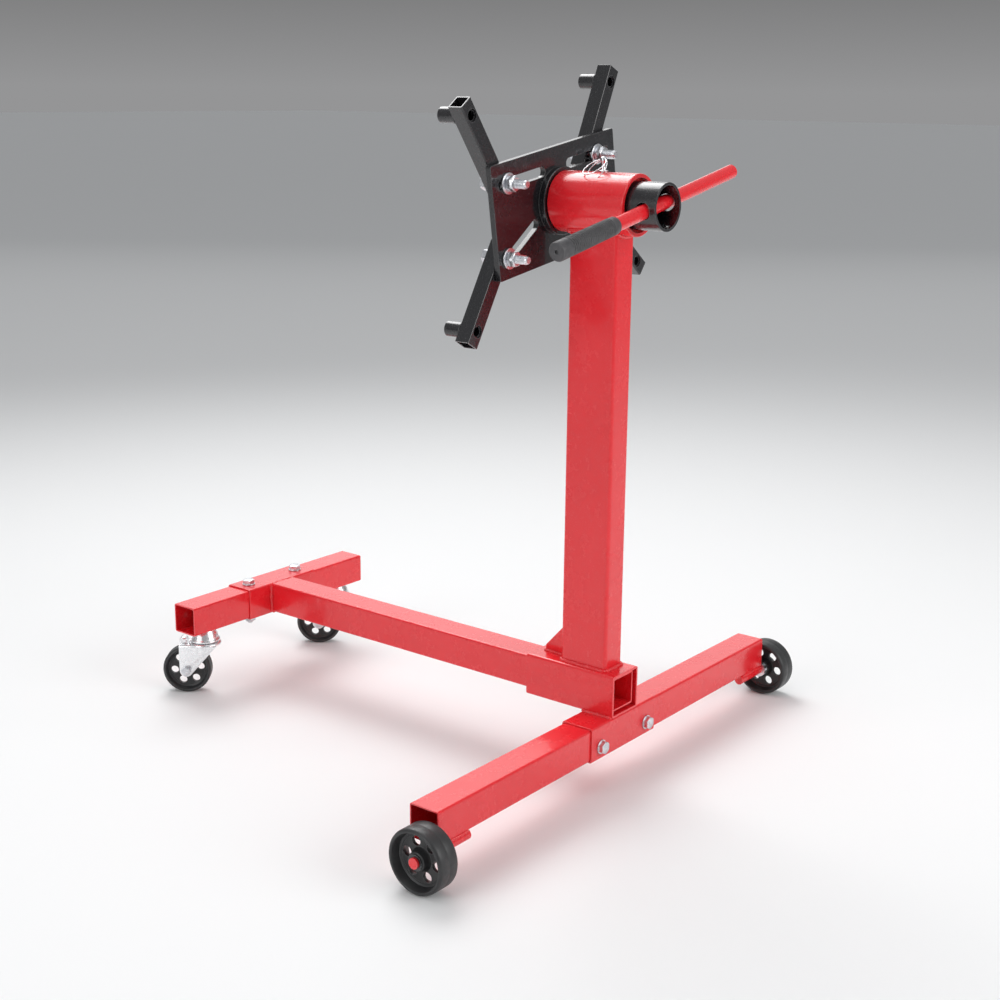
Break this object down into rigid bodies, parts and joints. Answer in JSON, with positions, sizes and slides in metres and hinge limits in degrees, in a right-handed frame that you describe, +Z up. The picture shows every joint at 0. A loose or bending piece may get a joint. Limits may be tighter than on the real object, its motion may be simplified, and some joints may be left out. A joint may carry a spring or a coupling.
{
  "type": "engine stand",
  "caption": "Wheeled workshop stand with a post and a turning slotted head whose adjustable arms bolt to an engine, with a cross-bar handle and a lock pin.",
  "frame": {"origin": "on the floor under the middle of the stand's overall box", "axes": "+Z up, +X along the rear cross bar, +Y from the handle end towards the swivel casters"},
  "size_m": [0.8588, 0.7867, 0.9528],
  "materials": {
    "red_paint": "gloss powder coat",
    "black_paint": "semi-gloss enamel",
    "zinc": "bright zinc plate",
    "wheel": "satin moulded",
    "grip_rubber": "ribbed matte"
  },
  "bodies": {
    "frame": {"rear_bar": "red_paint", "rear_sleeve": "red_paint", "front_bar": "red_paint", "front_sleeve": "red_paint", "frame_bolts": "zinc", "frame_washers": "zinc", "frame_nuts": "zinc", "base_socket": "red_paint", "clamp_nut": "zinc", "clamp_bolt": "zinc", "base_tube": "red_paint", "post": "red_paint", "post_gusset": "red_paint", "collar": "red_paint", "axle_left": "red_paint", "axle_right": "red_paint", "axle_clips": "black_paint", "axle_washers": "zinc", "caster_studs": "zinc", "caster_races": "zinc", "caster_stud_nuts": "zinc"},
    "rear_wheel_left": {"rear_wheel_left": "wheel"},
    "rear_wheel_right": {"rear_wheel_right": "wheel"},
    "caster_left": {"caster_fork_left": "zinc", "caster_axle_left": "zinc", "caster_axle_nut_left": "zinc"},
    "caster_right": {"caster_fork_right": "zinc", "caster_axle_right": "zinc", "caster_axle_nut_right": "zinc"},
    "caster_wheel_left": {"caster_wheel_left": "wheel"},
    "caster_wheel_right": {"caster_wheel_right": "wheel"},
    "head": {"head_tube": "black_paint", "head_flange": "black_paint", "head_plate": "black_paint"},
    "handle": {"handle_bar": "red_paint", "handle_grip": "grip_rubber"},
    "lock_pin": {"lock_pin": "zinc"},
    "lock_ring": {"lock_ring": "zinc"},
    "clamp_upper_left": {"arm_bolt_upper_left": "zinc", "arm_washer_upper_left": "zinc", "arm_nut_upper_left": "zinc"},
    "arm_upper_left": {"arm_upper_left": "black_paint", "arm_sleeve_upper_left": "black_paint"},
    "clamp_upper_right": {"arm_bolt_upper_right": "zinc", "arm_washer_upper_right": "zinc", "arm_nut_upper_right": "zinc"},
    "arm_upper_right": {"arm_upper_right": "black_paint", "arm_sleeve_upper_right": "black_paint"},
    "clamp_lower_left": {"arm_bolt_lower_left": "zinc", "arm_washer_lower_left": "zinc", "arm_nut_lower_left": "zinc"},
    "arm_lower_left": {"arm_lower_left": "black_paint", "arm_sleeve_lower_left": "black_paint"},
    "clamp_lower_right": {"arm_bolt_lower_right": "zinc", "arm_washer_lower_right": "zinc", "arm_nut_lower_right": "zinc"},
    "arm_lower_right": {"arm_lower_right": "black_paint", "arm_sleeve_lower_right": "black_paint"}
  },
  "joints": [
    {"name": "rear_wheel_left_spin", "type": "hinge", "parent": "frame", "child": "rear_wheel_left", "pos_m": [-0.4115, -0.3447, 0.042], "axis": [1, 0, 0], "continuous": true},
    {"name": "rear_wheel_right_spin", "type": "hinge", "parent": "frame", "child": "rear_wheel_right", "pos_m": [0.4115, -0.3447, 0.042], "axis": [1, 0, 0], "continuous": true},
    {"name": "caster_left_swivel", "type": "hinge", "parent": "frame", "child": "caster_left", "pos_m": [-0.146, 0.3358, 0.08], "axis": [0, 0, 1], "continuous": true},
    {"name": "caster_wheel_left_spin", "type": "hinge", "parent": "caster_left", "child": "caster_wheel_left", "pos_m": [-0.16355, 0.35826, 0.0375], "axis": [-0.788, -0.6157, 0], "continuous": true},
    {"name": "caster_right_swivel", "type": "hinge", "parent": "frame", "child": "caster_right", "pos_m": [0.146, 0.3358, 0.08], "axis": [0, 0, 1], "continuous": true},
    {"name": "caster_wheel_right_spin", "type": "hinge", "parent": "caster_right", "child": "caster_wheel_right", "pos_m": [0.12845, 0.35826, 0.0375], "axis": [-0.788, -0.6157, 0], "continuous": true},
    {"name": "head_turn", "type": "hinge", "parent": "frame", "child": "head", "pos_m": [0, -0.3277, 0.78], "axis": [0, -1, 0], "continuous": true},
    {"name": "handle_slide", "type": "slide", "parent": "head", "child": "handle", "axis": [0.9806, 0, 0.1959], "range_m": [-0.15, 0.06]},
    {"name": "lock_pin_pull", "type": "slide", "parent": "frame", "child": "lock_pin", "axis": [0, 0, 1], "range_m": [0, 0.008]},
    {"name": "lock_ring_swing", "type": "hinge", "parent": "lock_pin", "child": "lock_ring", "pos_m": [0, -0.2947, 0.8348], "axis": [0.342, 0.9397, 0], "range_deg": [0, 235]},
    {"name": "clamp_upper_left_slide", "type": "slide", "parent": "head", "child": "clamp_upper_left", "axis": [-0.9871, 0, -0.1599], "range_m": [-0.0625, 0.0108]},
    {"name": "arm_upper_left_swing", "type": "hinge", "parent": "clamp_upper_left", "child": "arm_upper_left", "pos_m": [-0.10825, -0.2167, 0.80603], "axis": [0, -1, 0], "range_deg": [-30, 45]},
    {"name": "clamp_upper_right_slide", "type": "slide", "parent": "head", "child": "clamp_upper_right", "axis": [0.9871, 0, 0.1599], "range_m": [-0.0521, 0.0212]},
    {"name": "arm_upper_right_swing", "type": "hinge", "parent": "clamp_upper_right", "child": "arm_upper_right", "pos_m": [0.08424, -0.2167, 0.8372], "axis": [0, 1, 0], "range_deg": [-30, 45]},
    {"name": "clamp_lower_left_slide", "type": "slide", "parent": "head", "child": "clamp_lower_left", "axis": [-0.8114, 0, -0.5845], "range_m": [-0.0645, 0.0045]},
    {"name": "arm_lower_left_swing", "type": "hinge", "parent": "clamp_lower_left", "child": "arm_lower_left", "pos_m": [-0.10405, -0.2167, 0.7125], "axis": [0, 1, 0], "range_deg": [-30, 45]},
    {"name": "clamp_lower_right_slide", "type": "slide", "parent": "head", "child": "clamp_lower_right", "axis": [0.9544, 0, -0.2985], "range_m": [-0.0685, 0.0008]},
    {"name": "arm_lower_right_swing", "type": "hinge", "parent": "clamp_lower_right", "child": "arm_lower_right", "pos_m": [0.12377, -0.2167, 0.74762], "axis": [0, -1, 0], "range_deg": [-30, 45]}
  ]
}
